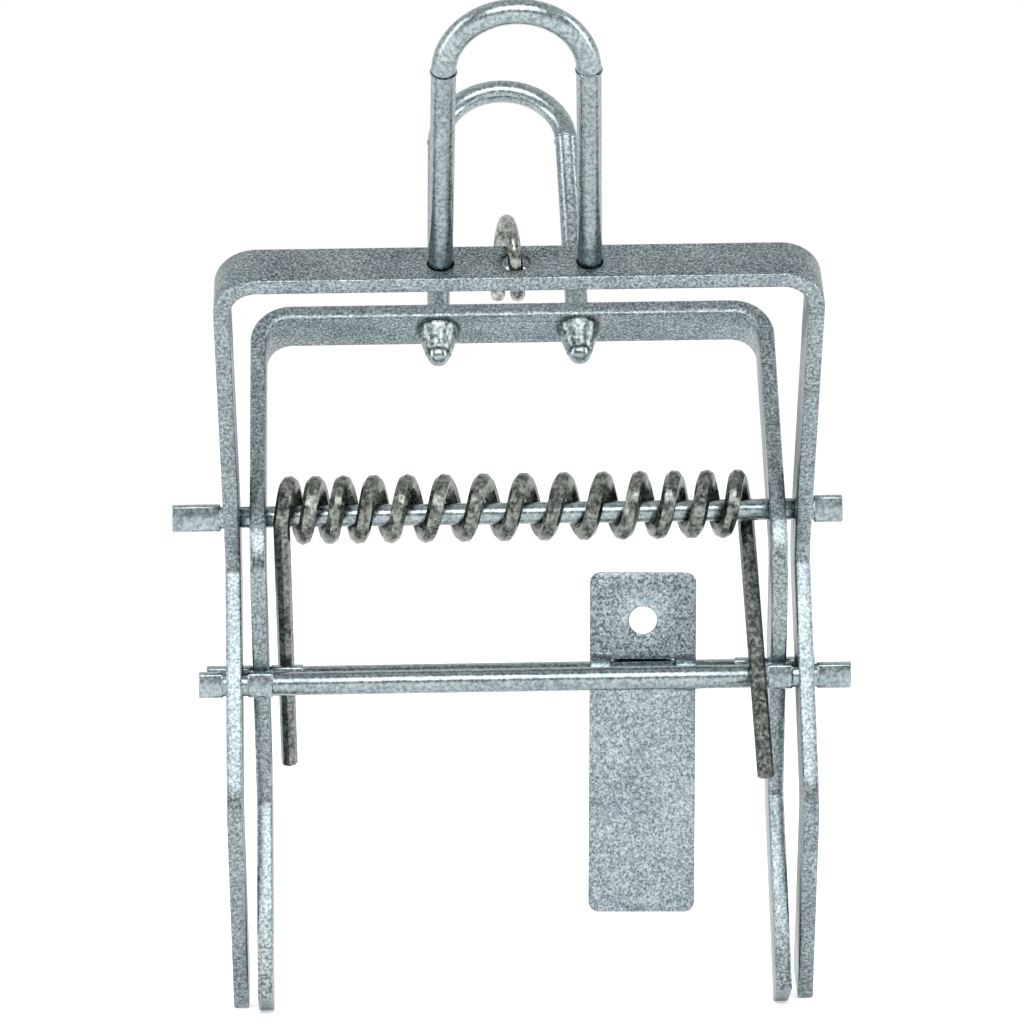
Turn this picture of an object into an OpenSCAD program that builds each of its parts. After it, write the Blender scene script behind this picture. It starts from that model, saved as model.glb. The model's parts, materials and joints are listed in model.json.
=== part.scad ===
// Scissor mole trap in plated steel, sprung shut and standing on its four jaw tips.
// X runs along the pivot rod, Y away from the viewer, Z up, all in millimetres.
// The outer frame leans towards the viewer, and the inner frame is its mirror image
// behind it, narrower and with a lower bar. Places are worked out from the pivot axis,
// and the whole is moved at the end so that its origin lies midway between the outermost
// faces, on the ground.

/* [Strip frames] */
// Width of the strip that both frames are made of
strip_w = 10; // [8:0.5:13]
// Thickness of the strip
strip_t = 3; // [2:0.25:4]
// Outside width of the outer frame
outer_w = 112.6; // [95:0.2:130]
// Gap at each side between the two frames
frame_gap = 2; // [1:0.1:3]
// Outside radius of the frames' top corners
corner_r = 8; // [6:0.5:14]
// Lean of each frame's upper half from upright, in degrees
lean = 36; // [30:0.5:42]
// Pivot axis to the middle of the outer frame's bar
outer_bar_r = 59.4; // [54:0.2:70]
// Pivot axis to the middle of the inner frame's bar
inner_bar_r = 43.9; // [38:0.2:48]

/* [Jaw legs] */
// Drop from the pivot axis to the corner of the upper bend
knee_drop = 7.6; // [6:0.1:10]
// Drop from the pivot axis to the corner of the lower bend
shin_drop = 55.5; // [48:0.5:62]
// Drop from the pivot axis to the middle of a jaw tip
tip_drop = 93.7; // [84:0.1:105]
// How far the tips cross over past the middle
tip_cross = 6; // [2:0.5:9]
// Inside radius of both edgewise bends
bend_r = 5; // [3:0.5:7]

/* [Pivot rod] */
// Diameter of the pivot rod
pivot_d = 4.2; // [3.6:0.1:5]
// Radial clearance of the rod in its four holes
pivot_play = 0.1; // [0.05:0.01:0.1]
// Length of the rod past the outer frame, left
pivot_out_left = 10; // [6:0.5:14]
// Length of the rod past the outer frame, right
pivot_out_right = 6.3; // [4:0.1:14]
// Height of the rod's flattened ends
pivot_flat_h = 5.3; // [5:0.1:6.5]
// Thickness of the rod's flattened ends
pivot_flat_t = 2.8; // [2:0.1:3.4]
// Gap between a flattened end and the outer frame
end_gap = 0.8; // [0.4:0.1:1.5]

/* [Cross rods] */
// Diameter of the two cross rods
rod_d = 4.5; // [3.8:0.1:5.2]
// Radial clearance of a cross rod in its holes
rod_fit = 0.05; // [0.02:0.01:0.1]
// Drop from the pivot axis to the cross rods
rod_drop = 31.7; // [28:0.1:38]
// Steel left between a cross rod's hole and the strip's edge
rod_land = 0.8; // [0.6:0.1:1.8]
// Height of the flattened stretches
rod_flat_h = 5.1; // [4.8:0.1:6]
// Thickness of the flattened stretches
rod_flat_t = 3; // [2.4:0.1:3.6]
// Length of the flat that stops the other frame's leg, past both its faces
stop_flat_over = 0.8; // [0.4:0.1:0.9]
// Length of the inner rod's flats beside the inner frame
inner_flat_len = 6; // [3:0.5:9]
// Gap between a cross rod and the edge that it stops
stop_gap = 0.3; // [0.2:0.05:0.5]
// Length of the front rod past the outer frame, left
front_out_left = 5.3; // [4:0.1:9]
// Length of the front rod past the outer frame, right
front_out_right = 7.2; // [4:0.1:9]
// Length of the rear rod past the inner frame, left
rear_out_left = 9.2; // [7:0.1:12]
// Length of the rear rod past the inner frame, right
rear_out_right = 6.2; // [5.5:0.1:12]

/* [Handles] */
// Diameter of the handle wire
handle_d = 4.5; // [3.8:0.1:5.2]
// Radial clearance of a handle in the bar's holes
handle_fit = 0.1; // [0.05:0.01:0.2]
// Height of a handle over the middle of its bar, to the middle of the wire
handle_rise = 56.8; // [45:0.2:70]
// Radius of the handle's arch, to the middle of the wire
arch_r = 12.9; // [10:0.1:16]
// Outward slope of a handle's legs, in degrees
handle_slope = 1.1; // [0:0.1:2]
// Sideways place of both handles
handle_x = -0.7; // [-3:0.1:3]
// How far the outer handle's ends stand out under its bar
outer_stub = 1.6; // [1:0.1:4]
// How far the inner handle's ends stand out under its bar
inner_stub = 8; // [6:0.2:9]
// Radius of a weld bead on the bar
bead_r = 4.3; // [3.4:0.1:4.6]
// Radius of a weld bead at its far end, past the wire's own
bead_lip = 0.3; // [0.1:0.05:0.6]
// Height of the outer handle's weld beads
outer_bead_h = 1.2; // [0.8:0.1:3]
// Height of the inner handle's weld beads
inner_bead_h = 5.5; // [3:0.1:7]

/* [Spring] */
// Diameter of the spring wire
spring_d = 3.2; // [2.4:0.1:3.6]
// Inside diameter of the coil
coil_bore = 7; // [6.2:0.1:8.5]
// Whole turns between the two legs, beside the part turn
coil_turns = 13; // [9:1:14]
// Gap between the coil and the underside of the pivot rod
coil_gap = 0.2; // [0.1:0.05:0.4]
// Gap between the left leg's wire and the inner frame
spring_side_left = 1.4; // [1.2:0.1:4]
// Gap between the right leg's wire and the inner frame
spring_side_right = 2.4; // [1.2:0.1:4]
// How far each leg spreads sideways to its end
leg_spread = 0.9; // [0:0.1:1]
// Length of each straight leg
leg_len = 53; // [44:0.5:60]
// Gap between a leg and the cross rod that it pushes
leg_gap = 0.3; // [0.2:0.05:0.5]
// How far the middle coils lie to the left
coil_lag = 2.2; // [0:0.1:3]
// How far the coils bunch towards the ends
coil_wave = 2.6; // [0:0.1:3]

/* [Trigger plate] */
// Width of the plate
plate_w = 20.6; // [16:0.2:26]
// Height of the plate
plate_h = 66.4; // [55:0.2:74]
// Height of the plate over the axis of the rod that it hangs on
plate_over = 19.4; // [15:0.2:21]
// Thickness of the plate
plate_t = 1; // [0.8:0.1:1.5]
// Corner radius of the plate
plate_corner_r = 2; // [1:0.1:4]
// Sideways place of the plate
plate_x = 24; // [-25:0.5:25]
// Sideways slope of the plate on its rod, in degrees
plate_slope = 1; // [0:0.1:1]
// Width of the middle knuckle
knuckle_w = 11.6; // [6:0.2:13]
// Width of the cut beside the middle knuckle
knuckle_cut = 0.4; // [0.3:0.1:1]
// Radial clearance of the knuckles on the rod
knuckle_play = 0.3; // [0.25:0.05:0.5]
// Diameter of the plate's hole
plate_hole_d = 5.4; // [4:0.1:7]
// Height of that hole over the axis of the rod
plate_hole_up = 10.1; // [8.5:0.1:13]

/* [Tether ring] */
// Diameter of the ring's wire
ring_d = 2.8; // [2.2:0.1:3]
// Outside diameter of the ring
ring_od = 16.4; // [15:0.2:22]
// Diameter of the hole for the ring
ring_hole_d = 5.2; // [4.8:0.1:6]
// Sideways step between the ring's two ends
ring_step = 3.6; // [3.4:0.1:4.4]
// Open angle between the ring's ends
ring_open = 20; // [10:1:60]
// Droop of the ring under the bar's plane, in degrees
ring_droop = 21; // [0:1:24]
// How far the wire's middle lies behind the middle of the hole
ring_back = 0.4; // [0:0.1:0.6]

/* [Hidden] */
$fn = 64;
// How far one cut or piece of a solid runs past another where they meet end to end
LAP = 0.02;
// Height up the lean at which the bar's sides take over from the legs
JOIN_HEIGHT = 14;
// Straight steps in each edgewise bend
BEND_STEPS = 12;

ZINC = [0.66, 0.70, 0.71];
BRIGHT_ZINC = [0.74, 0.77, 0.78];
WELD = [0.55, 0.58, 0.58];
SPRING_STEEL = [0.50, 0.52, 0.48];

// Frames
inner_w = outer_w - 2 * (strip_t + frame_gap);
bend_mid_r = bend_r + strip_w / 2;

// The two frames' legs cross at the pivot, lie behind one another at the cross rods,
// and cross again under them. The slope of the stretch at the rods is the one that leaves
// rod_land beside each rod's hole and stop_gap between each rod and the other frame,
// whose edge slants past the corner of the rod's flat.
knee_y = knee_drop * tan(lean);
flat_corner = [rod_flat_t / 2, sqrt(rod_flat_h * rod_flat_h - rod_flat_t * rod_flat_t) / 2];
function half_apart(slope) =
    (flat_corner * [cos(slope), sin(slope)] + stop_gap + rod_land + rod_d / 2) / cos(slope) / 2;
function slope_for(apart) = atan((knee_y + apart) / (rod_drop - knee_drop));
function settle(slope, rounds) =
    rounds == 0 ? slope : settle(slope_for(half_apart(slope)), rounds - 1);
thigh_slope = settle(18, 8);
apart = half_apart(thigh_slope);
shin_y = apart + (shin_drop - rod_drop) * tan(thigh_slope);
shin_slope = atan((shin_y + tip_cross) / (tip_drop - shin_drop));
rod_y = apart + (strip_w / 2 - rod_land - rod_d / 2) / cos(thigh_slope);

// Handles
handle_drop = handle_rise - arch_r + arch_r * sin(handle_slope);
handle_bar_x = arch_r * cos(handle_slope) + handle_drop * tan(handle_slope);

// Spring. Angles run from the coil's underside towards the viewer. The coil hangs clear
// of the rod by coil_gap at the middle of a chord between two of its rings.
RINGS_A_TURN = 8;
TUBE_SIDES = 6;
coil_r = (coil_bore + spring_d) / 2;
coil_z = coil_r * cos(180 / RINGS_A_TURN) - (spring_d + pivot_d) / 2 - coil_gap;
leg_off = rod_flat_h / 2 + spring_d / 2 + leg_gap;
rod_from_coil = [rod_y, rod_drop + coil_z];
leg_slope = atan(rod_from_coil[0] / rod_from_coil[1]) + asin((coil_r + leg_off) / norm(rod_from_coil));
coil_start = 90 - leg_slope;
coil_end = 270 + leg_slope + 360 * coil_turns;
coil_left = -inner_w / 2 + strip_t + spring_side_left + spring_d / 2;
coil_right = inner_w / 2 - strip_t - spring_side_right - spring_d / 2;

// Tether ring
ring_r = (ring_od - ring_d) / 2;
ring_swing_r = ring_r - ring_back;
RING_RINGS = 24;
RING_SIDES = 8;

// Outermost faces, which set the origin
left_end = max(outer_w / 2 + pivot_out_left, outer_w / 2 + front_out_left, inner_w / 2 + rear_out_left);
right_end = max(outer_w / 2 + pivot_out_right, outer_w / 2 + front_out_right, inner_w / 2 + rear_out_right);
front_end = (outer_bar_r + handle_rise) * sin(lean) + handle_d / 2;
back_end = (inner_bar_r + handle_rise) * sin(lean) + handle_d / 2;
ground_z = -tip_drop - strip_w / 2 * sin(shin_slope);
function to_origin() = [(left_end - right_end) / 2, (front_end - back_end) / 2, -ground_z];
echo(to_origin = to_origin(), rod_y = rod_y, thigh_slope = thigh_slope, shin_slope = shin_slope);

module place() {
    translate(to_origin()) children();
}

// Solid of a side outline, drawn in Y and Z and centred on X
module side_plate(thickness) {
    rotate([90, 0, 90]) linear_extrude(thickness, center = true) children();
}

// Cylinder along X
module cross_bar(radius, from, to) {
    translate([from, 0, 0]) rotate([0, 90, 0]) cylinder(r = radius, h = to - from);
}

// Frames

// Unit step down a leg that slopes away from the viewer by an angle, and the unit step
// square to it, from the leg's front edge to its back edge
function down(angle) = [sin(angle), -cos(angle)];
function square_to(angle) = [cos(angle), sin(angle)];

// A leg runs down its frame's own lean, turns to the viewer at the knee, turns back at
// the shin and ends at the tip. Each bend is an arc round its own centre.
knee_cut = bend_mid_r * tan((lean + thigh_slope) / 2);
shin_cut = bend_mid_r * tan((thigh_slope + shin_slope) / 2);
knee_centre = [knee_y, -knee_drop] - knee_cut * down(lean) - bend_mid_r * square_to(lean);
shin_centre = [-shin_y, -shin_drop] + shin_cut * down(shin_slope) + bend_mid_r * square_to(shin_slope);
leg_top = -JOIN_HEIGHT * down(lean);
leg_tip = [tip_cross, -tip_drop];

// Edge of a leg at a distance behind its middle line, from the top to the tip
function leg_edge(behind) = concat(
    [leg_top + behind * square_to(lean)],
    [for (i = [0 : BEND_STEPS]) let (angle = lean - (lean + thigh_slope) * i / BEND_STEPS)
        knee_centre + (bend_mid_r + behind) * square_to(angle)],
    [for (i = [0 : BEND_STEPS]) let (angle = (thigh_slope + shin_slope) * i / BEND_STEPS - thigh_slope)
        shin_centre - (bend_mid_r - behind) * square_to(angle)],
    [leg_tip + behind * square_to(shin_slope)]
);

// Side outline of a jaw leg, in the frame's own leaning plane
module leg_outline() {
    front = leg_edge(-strip_w / 2);
    back = leg_edge(strip_w / 2);
    last = len(back) - 1;
    outline = concat(front, [for (i = [0 : last]) back[last - i]]);
    polygon([for (p = outline) [p * square_to(lean), -p * down(lean)]]);
}

// Rectangle with rounded top corners, from the legs' joins up to a height
module round_topped(half, top, radius, start) {
    translate([-half, start]) square([2 * half, top - radius - start]);
    translate([radius - half, start]) square([2 * (half - radius), top - start]);
    for (side = [-1, 1]) translate([side * (half - radius), top - radius]) circle(radius);
}

module bar_outline(width, bar_r) {
    start = JOIN_HEIGHT - 2;
    difference() {
        round_topped(width / 2, bar_r + strip_t / 2, corner_r, start);
        round_topped(width / 2 - strip_t, bar_r - strip_t / 2, corner_r - strip_t, start - 1);
    }
}

// Bent strip without its holes
module bent_strip(width, bar_r) {
    rotate([lean, 0, 0]) {
        rotate([90, 0, 0]) linear_extrude(strip_w, center = true) bar_outline(width, bar_r);
        for (side = [-1, 1])
            translate([side * (width - strip_t) / 2, 0, 0]) side_plate(strip_t) leg_outline();
    }
}

// Frame with its holes for the pivot rod, its own cross rod and its handle
module frame(width, bar_r) {
    difference() {
        bent_strip(width, bar_r);
        cross_bar(pivot_d / 2 + pivot_play, -width / 2 - 1, width / 2 + 1);
        translate([0, -rod_y, -rod_drop]) cross_bar(rod_d / 2 + rod_fit, -width / 2 - 1, width / 2 + 1);
        rotate([lean, 0, 0])
            for (side = [-1, 1])
                on_handle_leg(side, bar_r)
                    cylinder(r = handle_d / 2 + handle_fit, h = 2 * strip_t, center = true);
    }
}

module outer_frame() {
    color(ZINC) place() difference() {
        frame(outer_w, outer_bar_r);
        rotate([lean, 0, 0])
            translate([handle_x, 0, outer_bar_r]) cylinder(d = ring_hole_d, h = 2 * strip_t, center = true);
    }
}

module inner_frame() {
    color(ZINC) place() mirror([0, 1, 0]) frame(inner_w, inner_bar_r);
}

// Handles, drawn upright and then leant with their frame

// Origin on a handle leg's axis in the middle of the bar, with Z up along the leg
module on_handle_leg(side, bar_r) {
    translate([handle_x + side * handle_bar_x, 0, bar_r]) rotate([0, -side * handle_slope, 0]) children();
}

// The legs are a hair thinner than the arch, so that they end inside it
module handle(bar_r, stub, round_end) {
    under = strip_t / 2 + stub;
    end_r = round_end ? handle_d / 2 : 0;
    leg_d = handle_d - LAP;
    translate([handle_x, 0, bar_r + handle_rise - arch_r])
        rotate([90, 0, 0]) rotate(handle_slope)
            rotate_extrude(angle = 180 - 2 * handle_slope) translate([arch_r, 0]) circle(d = handle_d);
    for (side = [-1, 1])
        on_handle_leg(side, bar_r) {
            translate([0, 0, end_r - under])
                cylinder(d = leg_d, h = under - end_r + handle_drop / cos(handle_slope) + 10 * LAP);
            if (round_end) translate([0, 0, end_r - under]) sphere(d = handle_d);
        }
}

// Cone of weld on the bar's inner face round one end of a handle
module weld_bead(side, bar_r, height) {
    face = bar_r - strip_t / 2;
    difference() {
        intersection() {
            on_handle_leg(side, bar_r)
                translate([0, 0, -strip_t / 2 - height])
                    cylinder(r1 = handle_d / 2 + bead_lip, r2 = bead_r, h = height + 0.1);
            translate([handle_x, 0, face - outer_w / 2]) cube(outer_w, center = true);
        }
        on_handle_leg(side, bar_r) cylinder(d = handle_d + 0.04, h = 4 * inner_stub, center = true);
    }
}

module outer_handle() {
    color(BRIGHT_ZINC) place() rotate([lean, 0, 0]) handle(outer_bar_r, outer_stub, false);
}

module inner_handle() {
    color(BRIGHT_ZINC) place() rotate([-lean, 0, 0]) handle(inner_bar_r, inner_stub, true);
}

module outer_handle_weld(side) {
    color(WELD) place() rotate([lean, 0, 0]) weld_bead(side, outer_bar_r, outer_bead_h);
}

module inner_handle_weld(side) {
    color(WELD) place() rotate([-lean, 0, 0]) weld_bead(side, inner_bar_r, inner_bead_h);
}

// Rods

// Rod along X with flattened stretches, each given as where it starts and ends
module flattened_rod(diameter, from, to, flats, flat_h, flat_t) {
    difference() {
        union() {
            cross_bar(diameter / 2, from, to);
            for (flat = flats) cross_bar(flat_h / 2, flat[0], flat[1]);
        }
        for (flat = flats, side = [-1, 1])
            translate([(flat[0] + flat[1]) / 2, side * (flat_t / 2 + flat_h), 0])
                cube([flat[1] - flat[0] + 2 * LAP, 2 * flat_h, 2 * flat_h], center = true);
    }
}

module pivot_rod() {
    from = -outer_w / 2 - pivot_out_left;
    to = outer_w / 2 + pivot_out_right;
    flats = [[from, -outer_w / 2 - end_gap], [outer_w / 2 + end_gap, to]];
    color(BRIGHT_ZINC) place() flattened_rod(pivot_d, from, to, flats, pivot_flat_h, pivot_flat_t);
}

// Rod fixed in the outer frame, in front of the inner frame's legs
module outer_cross_rod() {
    from = -outer_w / 2 - front_out_left;
    to = outer_w / 2 + front_out_right;
    stop_in = inner_w / 2 - strip_t - stop_flat_over;
    stop_out = inner_w / 2 + stop_flat_over;
    flats = [
        [from, -outer_w / 2 - end_gap], [-stop_out, -stop_in],
        [stop_in, stop_out], [outer_w / 2 + end_gap, to]
    ];
    color(BRIGHT_ZINC) place() translate([0, -rod_y, -rod_drop])
        flattened_rod(rod_d, from, to, flats, rod_flat_h, rod_flat_t);
}

// Rod fixed in the inner frame, behind the outer frame's legs
module inner_cross_rod() {
    from = -inner_w / 2 - rear_out_left;
    to = inner_w / 2 + rear_out_right;
    leg_face = inner_w / 2 - strip_t - end_gap / 2;
    flats = [
        [from, -inner_w / 2 - end_gap / 2], [-leg_face, inner_flat_len - leg_face],
        [leg_face - inner_flat_len, leg_face], [inner_w / 2 + end_gap / 2, to]
    ];
    color(BRIGHT_ZINC) place() translate([0, rod_y, -rod_drop])
        flattened_rod(rod_d, from, to, flats, rod_flat_h, rod_flat_t);
}

// Wire forms

// Point on a circle in Y and Z, by its angle from the underside towards the viewer
function wound(radius, angle) = [0, -radius * sin(angle), -radius * cos(angle)];

// Corners of a wire's section at a point, square to its tangent
function section(point, tangent, radius, sides) =
    let (
        ahead = tangent / norm(tangent),
        out = cross(ahead, [1, 0, 0]) / norm(cross(ahead, [1, 0, 0])),
        across = cross(ahead, out)
    )
    [for (i = [0 : sides - 1]) point + radius * (cos(360 * i / sides) * out + sin(360 * i / sides) * across)];

// Closed tube of triangles along points, with a tangent for each
module tube(points, tangents, radius, sides) {
    last = len(points) - 1;
    corners = [for (i = [0 : last]) each section(points[i], tangents[i], radius, sides)];
    walls = [
        for (i = [0 : last - 1], j = [0 : sides - 1])
            let (a = i * sides + j, b = i * sides + (j + 1) % sides)
            each [[a, b + sides, b], [a, a + sides, b + sides]]
    ];
    foot = last * sides;
    start_cap = [for (j = [1 : sides - 2]) [0, j, j + 1]];
    end_cap = [for (j = [1 : sides - 2]) [foot, foot + j + 1, foot + j]];
    polyhedron(points = corners, faces = concat(walls, start_cap, end_cap));
}

// Spring
function coil_x(angle) =
    let (share = (angle - coil_start) / (coil_end - coil_start))
    coil_left + (coil_right - coil_left) * share
        - coil_lag * sin(180 * share) - coil_wave * sin(360 * share);
coil_steps = ceil((coil_end - coil_start) * RINGS_A_TURN / 360);
coil_angles = [for (i = [0 : coil_steps]) coil_start + (coil_end - coil_start) * i / coil_steps];
left_leg = [-leg_spread, leg_len * sin(leg_slope), -leg_len * cos(leg_slope)];
right_leg = [leg_spread, -leg_len * sin(leg_slope), -leg_len * cos(leg_slope)];
function coil_point(angle) = [coil_x(angle), 0, coil_z] + wound(coil_r, angle);
function coil_tangent(angle) = coil_point(angle + 0.5) - coil_point(angle - 0.5);
spring_points = concat(
    [coil_point(coil_start) + left_leg],
    [for (angle = coil_angles) coil_point(angle)],
    [coil_point(coil_end) + right_leg]
);
spring_tangents = concat(
    [-left_leg],
    [for (angle = coil_angles) coil_tangent(angle)],
    [right_leg]
);

// Least gap between turns, over all pairs of points at least half a turn apart
spring_least_gap = min([
    for (i = [0 : coil_steps], j = [i + RINGS_A_TURN / 2 : 1 : coil_steps])
        norm(coil_point(coil_angles[i]) - coil_point(coil_angles[j])) - spring_d
]);
echo(spring_least_gap = spring_least_gap);

module spring() {
    color(SPRING_STEEL) place() tube(spring_points, spring_tangents, spring_d / 2, TUBE_SIDES);
}

// Tether ring, through the hole in the outer bar and round the bar's back edge
ring_angles = [for (i = [0 : RING_RINGS]) ring_open / 2 + (360 - ring_open) * i / RING_RINGS];
ring_centre = [
    handle_x - ring_step / 2 * cos(45),
    -outer_bar_r * sin(lean) + ring_swing_r * cos(lean - ring_droop),
    outer_bar_r * cos(lean) + ring_swing_r * sin(lean - ring_droop)
];
function ring_point(angle) = ring_centre + wound(ring_r, angle) + [ring_step / 2 * cos(angle / 2), 0, 0];

module tether_ring() {
    points = [for (angle = ring_angles) ring_point(angle)];
    tangents = [for (angle = ring_angles) ring_point(angle + 0.5) - ring_point(angle - 0.5)];
    color(SPRING_STEEL) place() tube(points, tangents, ring_d / 2, RING_SIDES);
}

// Trigger plate, drawn from the axis of the rod that it hangs on
module rounded_panel(width, low, high, radius) {
    translate([-width / 2, low + radius]) square([width, high - low - 2 * radius]);
    translate([radius - width / 2, low]) square([width - 2 * radius, high - low]);
    for (side = [-1, 1], level = [low + radius, high - radius])
        translate([side * (width / 2 - radius), level]) circle(radius);
}

// Half tube round the rod, pressed out of the plate to the front (-1) or the back (1)
module knuckle(from, to, side) {
    inside = rod_d / 2 + knuckle_play;
    outside = inside + plate_t;
    translate([(from + to) / 2, 0, 0]) side_plate(to - from) intersection() {
        difference() {
            circle(outside);
            circle(inside);
        }
        translate([side * outside, 0]) square(2 * outside, center = true);
    }
}

module trigger_plate() {
    inside = rod_d / 2 + knuckle_play;
    mid = knuckle_w / 2;
    color(ZINC) place() translate([plate_x, rod_y, -rod_drop]) rotate([0, plate_slope, 0]) {
        difference() {
            rotate([90, 0, 0]) linear_extrude(plate_t, center = true) difference() {
                rounded_panel(plate_w, plate_over - plate_h, plate_over, plate_corner_r);
                translate([0, plate_hole_up]) circle(d = plate_hole_d);
            }
            cube([plate_w + 1, 2 * plate_t, 2 * inside], center = true);
        }
        knuckle(-mid, mid, 1);
        knuckle(-plate_w / 2, -mid - knuckle_cut, -1);
        knuckle(mid + knuckle_cut, plate_w / 2, -1);
    }
}

outer_frame();
outer_handle();
outer_handle_weld(-1);  // outer_handle_weld_left
outer_handle_weld(1);  // outer_handle_weld_right
outer_cross_rod();
inner_frame();
inner_handle();
inner_handle_weld(-1);  // inner_handle_weld_left
inner_handle_weld(1);  // inner_handle_weld_right
inner_cross_rod();
pivot_rod();
spring();
trigger_plate();
tether_ring();
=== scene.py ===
"""Scissor mole trap in zinc-plated steel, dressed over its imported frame."""
import json
import math

import bpy
from mathutils import Matrix, Vector


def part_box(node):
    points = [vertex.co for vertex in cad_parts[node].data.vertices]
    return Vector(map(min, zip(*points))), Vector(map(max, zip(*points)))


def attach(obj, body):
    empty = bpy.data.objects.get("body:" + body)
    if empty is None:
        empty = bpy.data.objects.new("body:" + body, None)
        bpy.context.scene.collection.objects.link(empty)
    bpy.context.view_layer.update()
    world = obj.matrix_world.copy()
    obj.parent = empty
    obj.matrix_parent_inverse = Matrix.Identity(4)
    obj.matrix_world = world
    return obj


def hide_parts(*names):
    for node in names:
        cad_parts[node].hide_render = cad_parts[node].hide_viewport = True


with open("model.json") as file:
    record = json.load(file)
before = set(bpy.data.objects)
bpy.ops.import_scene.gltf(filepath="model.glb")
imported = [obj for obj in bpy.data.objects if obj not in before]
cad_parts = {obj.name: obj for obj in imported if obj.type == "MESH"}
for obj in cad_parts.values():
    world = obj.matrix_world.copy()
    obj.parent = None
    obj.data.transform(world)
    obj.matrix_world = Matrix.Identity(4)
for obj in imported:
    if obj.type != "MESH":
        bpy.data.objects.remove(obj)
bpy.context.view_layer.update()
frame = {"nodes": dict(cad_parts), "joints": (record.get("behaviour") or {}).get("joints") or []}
NODES = frame["nodes"]

MM = 0.001
JOINTS = {joint["name"]: joint for joint in frame["joints"]}
PIVOT = Vector(JOINTS["jaw_hinge"]["pos_m"])

outer_low, outer_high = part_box("outer_frame")
FRAME_X = (outer_low.x + outer_high.x) / 2


def from_pivot(x, y, z):
    """Point given in millimetres from the pivot axis, at the middle of the outer frame."""
    return Vector((FRAME_X + x * MM, PIVOT.y + y * MM, PIVOT.z + z * MM))


# Camera, at the photograph's angle

IMAGE_PX = 1024
SENSOR_MM = 36
FOCAL_PX = 4507
DISTANCE = 867 * MM
NEAREST_SEEN = 50 * MM
PITCH = math.radians(4.7)
ROLL = math.radians(0.78)
YAW = math.radians(1.375)
PX_PER_MM = 5.2
PIVOT_PX = (517.5, 513.2)


def add_camera():
    """Long lens that sees the pivot axis where the photograph shows it."""
    forward = Vector((
        math.sin(YAW) * math.cos(PITCH),
        math.cos(YAW) * math.cos(PITCH),
        -math.sin(PITCH),
    ))
    level = Vector((math.cos(YAW), -math.sin(YAW), 0))
    upright = level.cross(forward)
    right = level * math.cos(ROLL) - upright * math.sin(ROLL)
    up = level * math.sin(ROLL) + upright * math.cos(ROLL)
    aside = (PIVOT_PX[0] - IMAGE_PX / 2) / PX_PER_MM * MM
    above = (IMAGE_PX / 2 - PIVOT_PX[1]) / PX_PER_MM * MM
    place = from_pivot(0, 0, 0) - right * aside - up * above - forward * DISTANCE
    data = bpy.data.cameras.new("camera")
    data.sensor_width = SENSOR_MM
    data.lens = FOCAL_PX * SENSOR_MM / IMAGE_PX
    data.clip_start = NEAREST_SEEN
    camera = bpy.data.objects.new("camera", data)
    bpy.context.scene.collection.objects.link(camera)
    turn = Matrix((right, up, -forward)).transposed()
    camera.matrix_world = Matrix.Translation(place) @ turn.to_4x4()
    bpy.context.scene.camera = camera


add_camera()


# Materials

def linear(hex_colour):
    """sRGB hex colour as the linear RGBA that shader sockets take."""
    parts = [int(hex_colour[i:i + 2], 16) / 255 for i in (1, 3, 5)]
    curved = [p / 12.92 if p <= 0.04045 else ((p + 0.055) / 1.055) ** 2.4 for p in parts]
    return (*curved, 1)


def add_node(tree, kind, settings=(), sockets=(), links=()):
    """Node with its settings, its sockets' values and the links into it."""
    node = tree.nodes.new(kind)
    for name, value in dict(settings).items():
        setattr(node, name, value)
    for name, value in dict(sockets).items():
        node.inputs[name].default_value = value
    for name, source in dict(links).items():
        tree.links.new(source, node.inputs[name])
    return node


# Size of the cloudy patches in the plating, and of the shallow dents of handling
CLOUD_MM = 9
DENT_MM = 3.5
# Shares of grain and cloud in the tone, and where in it each shade lies
GRAIN_SHARE = 0.84
CLOUD_SHARE = 0.16
DULL_AT = 0.36
MIDDLE_AT = 0.5
BRIGHT_AT = 0.66


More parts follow.
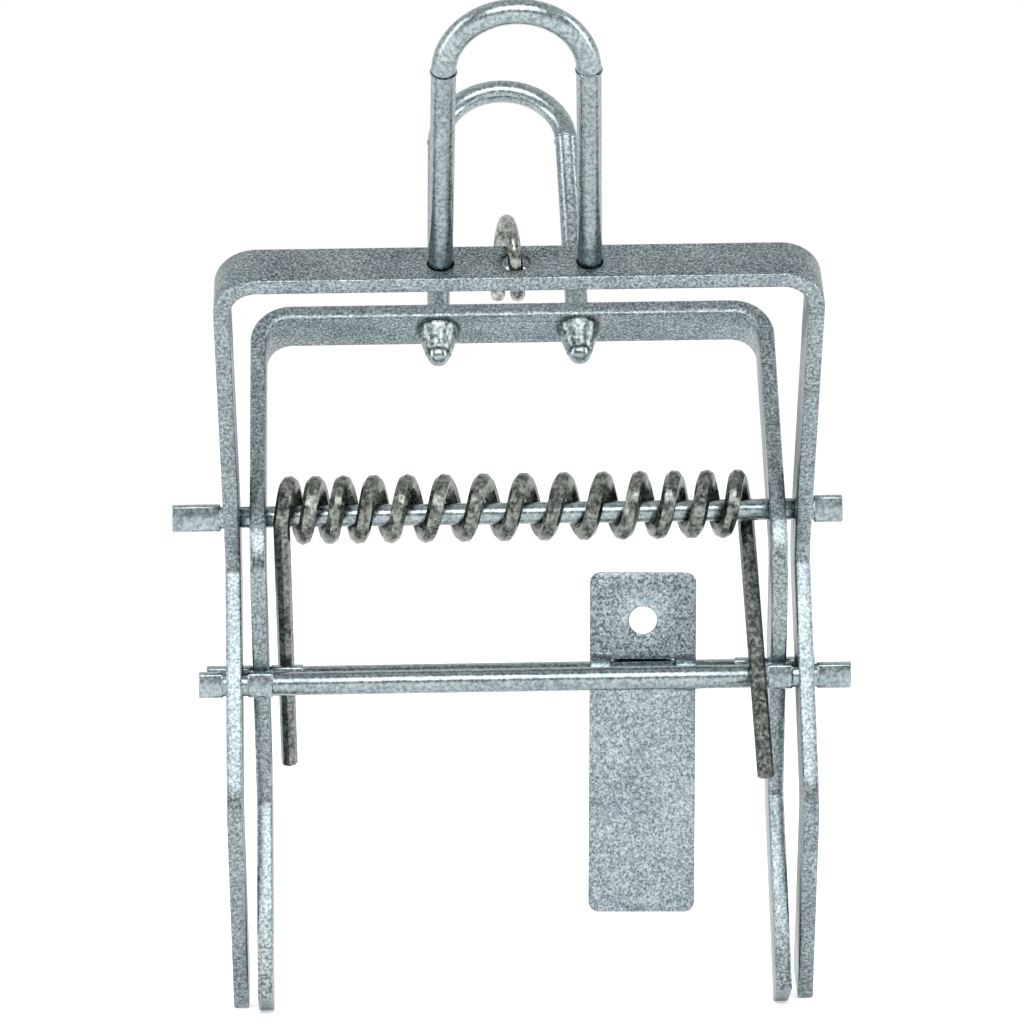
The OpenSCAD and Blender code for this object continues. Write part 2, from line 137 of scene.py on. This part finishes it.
def zinc_plate(name, dull, middle, bright, grain_mm, rough_low, rough_high, grain_bump, dent_bump):
    """Zinc-plated mild steel: rolled or drawn, then electroplated. The plate is finely
    crystalline, so it sparkles in specks and clouds, and it goes a little blue-grey.
    The bumps are heights in millimetres."""
    material = bpy.data.materials.new(name)
    material.use_nodes = True
    tree = material.node_tree
    tree.nodes.clear()
    output = tree.nodes.new("ShaderNodeOutputMaterial")
    place = add_node(tree, "ShaderNodeTexCoord").outputs["Object"]
    grain = add_node(
        tree, "ShaderNodeTexNoise",
        sockets={"Scale": 1 / (grain_mm * MM), "Detail": 2, "Roughness": 0.6},
        links={"Vector": place},
    ).outputs["Fac"]
    cloud = add_node(
        tree, "ShaderNodeTexNoise",
        sockets={"Scale": 1 / (CLOUD_MM * MM), "Detail": 3, "Roughness": 0.55},
        links={"Vector": place},
    ).outputs["Fac"]
    dents = add_node(
        tree, "ShaderNodeTexNoise",
        sockets={"Scale": 1 / (DENT_MM * MM), "Detail": 2, "Roughness": 0.5},
        links={"Vector": place},
    ).outputs["Fac"]
    cloud_part = add_node(
        tree, "ShaderNodeMath", {"operation": "MULTIPLY"}, {1: CLOUD_SHARE}, {0: cloud},
    ).outputs["Value"]
    tone = add_node(
        tree, "ShaderNodeMath", {"operation": "MULTIPLY_ADD"}, {1: GRAIN_SHARE},
        {0: grain, 2: cloud_part},
    ).outputs["Value"]
    shades = add_node(tree, "ShaderNodeValToRGB", links={"Fac": tone})
    first, last = shades.color_ramp.elements
    first.position = DULL_AT
    first.color = linear(dull)
    last.position = BRIGHT_AT
    last.color = linear(bright)
    shades.color_ramp.elements.new(MIDDLE_AT).color = linear(middle)
    rough = add_node(
        tree, "ShaderNodeMapRange",
        sockets={"From Min": 0.35, "From Max": 0.65, "To Min": rough_low, "To Max": rough_high},
        links={"Value": grain},
    ).outputs["Result"]
    dented = add_node(
        tree, "ShaderNodeBump", sockets={"Strength": 1, "Distance": dent_bump * MM},
        links={"Height": dents},
    ).outputs["Normal"]
    grained = add_node(
        tree, "ShaderNodeBump", sockets={"Strength": 1, "Distance": grain_bump * MM},
        links={"Height": grain, "Normal": dented},
    ).outputs["Normal"]
    shader = add_node(
        tree, "ShaderNodeBsdfPrincipled", sockets={"Metallic": 1},
        links={"Base Color": shades.outputs["Color"], "Roughness": rough, "Normal": grained},
    )
    tree.links.new(shader.outputs["BSDF"], output.inputs["Surface"])
    return material


# Hot-rolled strip under the plate: the coarsest sparkle, on broad satin faces. The real
# grain is finer than the render can show, so each grain here is as coarse as it needs.
ZINC_STRIP = zinc_plate(
    "zinc_plated_strip_face", "#464f53", "#768286", "#b4bebf",
    grain_mm=0.42, rough_low=0.26, rough_high=0.42, grain_bump=0.03, dent_bump=0.10,
)
# Where the strip was slit from its coil: smoother and a little paler
ZINC_EDGE = zinc_plate(
    "zinc_plated_sheared_edge", "#566165", "#7f8b8f", "#adb6b7",
    grain_mm=0.5, rough_low=0.28, rough_high=0.40, grain_bump=0.02, dent_bump=0.08,
)
# Cold-rolled sheet: flatter and paler than the strip
ZINC_SHEET = zinc_plate(
    "zinc_plated_sheet", "#59666b", "#87949a", "#bcc6c7",
    grain_mm=0.4, rough_low=0.26, rough_high=0.40, grain_bump=0.03, dent_bump=0.05,
)
# Drawn wire: smooth, with long even highlights
ZINC_WIRE = zinc_plate(
    "zinc_plated_wire", "#6c797c", "#8d999c", "#a9b3b4",
    grain_mm=0.7, rough_low=0.20, rough_high=0.30, grain_bump=0.012, dent_bump=0.06,
)
# Bead of weld metal under the plate: darker and uneven
WELD_BEAD = zinc_plate(
    "plated_weld_bead", "#4f595a", "#7b8585", "#b6bfbe",
    grain_mm=0.8, rough_low=0.24, rough_high=0.40, grain_bump=0.05, dent_bump=0.3,
)
# Hard-drawn spring wire: olive-grey with dark specks
SPRING_WIRE = zinc_plate(
    "plated_spring_wire", "#454a46", "#6c716b", "#959b93",
    grain_mm=0.8, rough_low=0.22, rough_high=0.36, grain_bump=0.02, dent_bump=0.05,
)
# Bright bent wire: warmer and shinier than the plated pieces
RING_WIRE = zinc_plate(
    "bright_ring_wire", "#5d615c", "#8a8e89", "#b2b5b0",
    grain_mm=0.8, rough_low=0.18, rough_high=0.32, grain_bump=0.02, dent_bump=0.05,
)


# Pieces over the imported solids

# Corners sharper than this are eased, and flatter ones are shaded smooth
SHARP = math.radians(35)
EASING_STEPS = 2


def select_only(piece):
    bpy.ops.object.select_all(action="DESELECT")
    piece.select_set(True)
    bpy.context.view_layer.objects.active = piece


def ease_edges(piece, width_mm, angle):
    easing = piece.modifiers.new("eased edges", "BEVEL")
    easing.width = width_mm * MM
    easing.segments = EASING_STEPS
    easing.limit_method = "ANGLE"
    easing.angle_limit = angle
    easing.use_clamp_overlap = False
    bpy.ops.object.modifier_apply(modifier=easing.name)


def finish_piece(piece, body, node):
    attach(piece, body)
    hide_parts(node)


def eased_copy(node, name, body, ease_mm, materials):
    """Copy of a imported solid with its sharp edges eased, as tumbling and plating leave them."""
    piece = bpy.data.objects.new(name, NODES[node].data.copy())
    bpy.context.scene.collection.objects.link(piece)
    select_only(piece)
    bpy.ops.object.mode_set(mode="EDIT")
    bpy.ops.mesh.select_all(action="SELECT")
    bpy.ops.mesh.remove_doubles(threshold=0.002 * MM)
    bpy.ops.mesh.dissolve_limited(angle_limit=math.radians(0.5))
    bpy.ops.object.mode_set(mode="OBJECT")
    piece.data.materials.clear()
    for material in materials:
        piece.data.materials.append(material)
    ease_edges(piece, ease_mm, SHARP)
    bpy.ops.object.shade_smooth_by_angle(angle=SHARP)
    finish_piece(piece, body, node)
    return piece


# Lean of the frames over the pivot, and the height from which a face belongs to the bar
FRAME_LEAN = math.radians(36)
BAR_FROM = 25 * MM
# A face counts as turned towards a direction when its normal has this much of it
TURNED = 0.5


def mark_edges(piece, bar_side):
    """Second material on the strip's sheared edges: what faces neither sideways nor along
    the lean of the bar between the top corners."""
    along_lean = Vector((0, bar_side * math.sin(FRAME_LEAN), math.cos(FRAME_LEAN)))
    for face in piece.data.polygons:
        sideways = abs(face.normal.x)
        lengthwise = abs(face.normal.dot(along_lean))
        on_bar = face.center.z > PIVOT.z + BAR_FROM and lengthwise > TURNED
        if sideways < TURNED and not on_bar:
            face.material_index = 1


def make_frames():
    for side, bar_side in (("outer", -1), ("inner", 1)):
        piece = eased_copy(
            side + "_frame", side + "_strip", side + "_jaw", 0.35,
            [ZINC_STRIP, ZINC_EDGE],
        )
        mark_edges(piece, bar_side)


def make_plain_pieces():
    for node, name, body, slot, ease_mm, material in (
        ("outer_handle", "front_handle", "outer_jaw", "bright_wire", 0.25, ZINC_WIRE),
        ("inner_handle", "rear_handle", "inner_jaw", "bright_wire", 0.25, ZINC_WIRE),
        ("outer_handle_weld_left", "front_left_weld", "outer_jaw", "weld", 0.3, WELD_BEAD),
        ("outer_handle_weld_right", "front_right_weld", "outer_jaw", "weld", 0.3, WELD_BEAD),
        ("inner_handle_weld_left", "rear_left_weld", "inner_jaw", "weld", 0.3, WELD_BEAD),
        ("inner_handle_weld_right", "rear_right_weld", "inner_jaw", "weld", 0.3, WELD_BEAD),
        ("tether_ring", "cord_ring", "tether", "ring_wire", 0.2, RING_WIRE),
        ("outer_cross_rod", "front_cross_rod", "outer_jaw", "bright_wire", 0.25, ZINC_WIRE),
        ("inner_cross_rod", "rear_cross_rod", "inner_jaw", "bright_wire", 0.25, ZINC_WIRE),
        ("pivot_rod", "pivot_pin", "pivot", "bright_wire", 0.25, ZINC_WIRE),
        ("trigger_plate", "trigger_blade", "trigger", "zinc_sheet", 0.15, ZINC_SHEET),
    ):
        eased_copy(node, name, body, ease_mm, [material])


# Spring, in millimetres from the pivot axis. Its turns close up towards both ends, and its
# axis lies a little over the rod's.

SPRING_D = 3.2
COIL_R = 5.1
COIL_UP = 1.2
COIL_LEFT = -45.25
COIL_RIGHT = 44.25
COIL_LAG = 2.2
COIL_WAVE = 2.6
COIL_TURNS = 13
STEPS_A_TURN = 28
LEG_SLOPE = math.radians(22.6)
LEG_LENGTH = 53
LEFT_LEG_SPREAD = 0.2
RIGHT_LEG_SPREAD = 1.9
# This setting gives the wire eight sides
WIRE_RESOLUTION = 2
WIRE_END_EASE = 0.2


def spring_route():
    """Left leg's end, the coil's points and right leg's end."""
    start = math.pi / 2 - LEG_SLOPE
    end = 3 * math.pi / 2 + LEG_SLOPE + 2 * math.pi * COIL_TURNS
    steps = round((end - start) / (2 * math.pi) * STEPS_A_TURN)
    points = []
    for i in range(steps + 1):
        share = i / steps
        angle = start + (end - start) * share
        bunching = COIL_LAG * math.sin(math.pi * share) + COIL_WAVE * math.sin(2 * math.pi * share)
        x = COIL_LEFT + (COIL_RIGHT - COIL_LEFT) * share - bunching
        points.append((x, -COIL_R * math.sin(angle), COIL_UP - COIL_R * math.cos(angle)))
    reach = LEG_LENGTH * math.sin(LEG_SLOPE)
    drop = LEG_LENGTH * math.cos(LEG_SLOPE)
    left = points[0]
    right = points[-1]
    left_end = (left[0] + LEFT_LEG_SPREAD, left[1] + reach, left[2] - drop)
    right_end = (right[0] + RIGHT_LEG_SPREAD, right[1] - reach, right[2] - drop)
    return [from_pivot(*point) for point in [left_end, *points, right_end]]


def make_spring():
    """Round wire along the spring's route, with its ends closed and eased."""
    route = spring_route()
    curve = bpy.data.curves.new("coil_spring", "CURVE")
    curve.dimensions = "3D"
    curve.bevel_depth = SPRING_D / 2 * MM
    curve.bevel_resolution = WIRE_RESOLUTION
    curve.use_fill_caps = True
    spline = curve.splines.new("POLY")
    spline.points.add(len(route) - 1)
    for knot, point in zip(spline.points, route):
        knot.co = (*point, 1)
    piece = bpy.data.objects.new("coil_spring", curve)
    bpy.context.scene.collection.objects.link(piece)
    select_only(piece)
    bpy.ops.object.convert(target="MESH")
    piece = bpy.context.object
    piece.data.materials.clear()
    piece.data.materials.append(SPRING_WIRE)
    ease_edges(piece, WIRE_END_EASE, math.radians(60))
    bpy.ops.object.shade_smooth_by_angle(angle=math.radians(40))
    finish_piece(piece, "outer_jaw", "spring")


make_frames()
make_plain_pieces()
make_spring()


# Studio

def add_world():
    """White behind the object and for the camera, darker towards where the camera stands."""
    world = bpy.data.worlds.new("studio")
    bpy.context.scene.world = world
    world.use_nodes = True
    tree = world.node_tree
    tree.nodes.clear()
    output = tree.nodes.new("ShaderNodeOutputWorld")
    direction = add_node(tree, "ShaderNodeTexCoord").outputs["Generated"]
    parts = add_node(tree, "ShaderNodeSeparateXYZ", links={"Vector": direction})
    away = add_node(
        tree, "ShaderNodeMapRange", {"interpolation_type": "SMOOTHSTEP"},
        {"From Min": -0.8, "From Max": 0.4, "To Min": 0.55, "To Max": 1.0},
        {"Value": parts.outputs["Y"]},
    ).outputs["Result"]
    seen = add_node(tree, "ShaderNodeLightPath").outputs["Is Camera Ray"]
    strength = add_node(
        tree, "ShaderNodeMath", {"operation": "MAXIMUM"}, {}, {0: away, 1: seen},
    ).outputs["Value"]
    background = add_node(
        tree, "ShaderNodeBackground", sockets={"Color": (1, 1, 1, 1)},
        links={"Strength": strength},
    )
    tree.links.new(background.outputs["Background"], output.inputs["Surface"])


def add_softbox(name, place, target, size, power):
    """Soft rectangular lamp, with its place, target and size in metres and power in watts."""
    data = bpy.data.lights.new(name, "AREA")
    data.shape = "RECTANGLE"
    data.size, data.size_y = size
    data.energy = power
    lamp = bpy.data.objects.new(name, data)
    bpy.context.scene.collection.objects.link(lamp)
    lamp.location = place
    lamp.rotation_euler = (Vector(target) - Vector(place)).to_track_quat("-Z", "Y").to_euler()


FLOOR_SIZE = 6
FLOOR_GLOW = 0.3


def add_floor():
    """White paper under the object, which keeps the object's soft shadow."""
    material = bpy.data.materials.new("white_paper_floor")
    material.use_nodes = True
    tree = material.node_tree
    tree.nodes.clear()
    output = tree.nodes.new("ShaderNodeOutputMaterial")
    path = add_node(tree, "ShaderNodeLightPath")
    seen = add_node(
        tree, "ShaderNodeMath", {"operation": "MAXIMUM"}, {},
        {0: path.outputs["Is Camera Ray"], 1: path.outputs["Is Glossy Ray"]},
    ).outputs["Value"]
    seen_through = add_node(
        tree, "ShaderNodeMath", {"operation": "MAXIMUM"}, {},
        {0: seen, 1: path.outputs["Is Transmission Ray"]},
    ).outputs["Value"]
    glow = add_node(
        tree, "ShaderNodeMath", {"operation": "MULTIPLY"}, {1: FLOOR_GLOW}, {0: seen_through},
    ).outputs["Value"]
    paper = add_node(
        tree, "ShaderNodeBsdfPrincipled",
        sockets={"Base Color": linear("#f4f4f4"), "Roughness": 0.9, "Emission Color": (1, 1, 1, 1)},
        links={"Emission Strength": glow},
    )
    tree.links.new(paper.outputs["BSDF"], output.inputs["Surface"])
    bpy.ops.object.select_all(action="DESELECT")
    bpy.ops.mesh.primitive_plane_add(size=FLOOR_SIZE, location=(0, 0, 0))
    floor = bpy.context.object
    floor.name = "floor"
    floor.data.materials.append(material)


LAMP_TARGET = (0, 0, 0.1)

add_world()
add_floor()
add_softbox("softbox_front", (0, -0.85, 0.75), LAMP_TARGET, size=(1.1, 0.6), power=9)
add_softbox("softbox_left", (-0.9, -0.2, 0.35), LAMP_TARGET, size=(0.3, 0.8), power=3)
add_softbox("softbox_right", (0.9, -0.2, 0.35), LAMP_TARGET, size=(0.3, 0.8), power=3)

bpy.context.scene.view_settings.view_transform = "Standard"
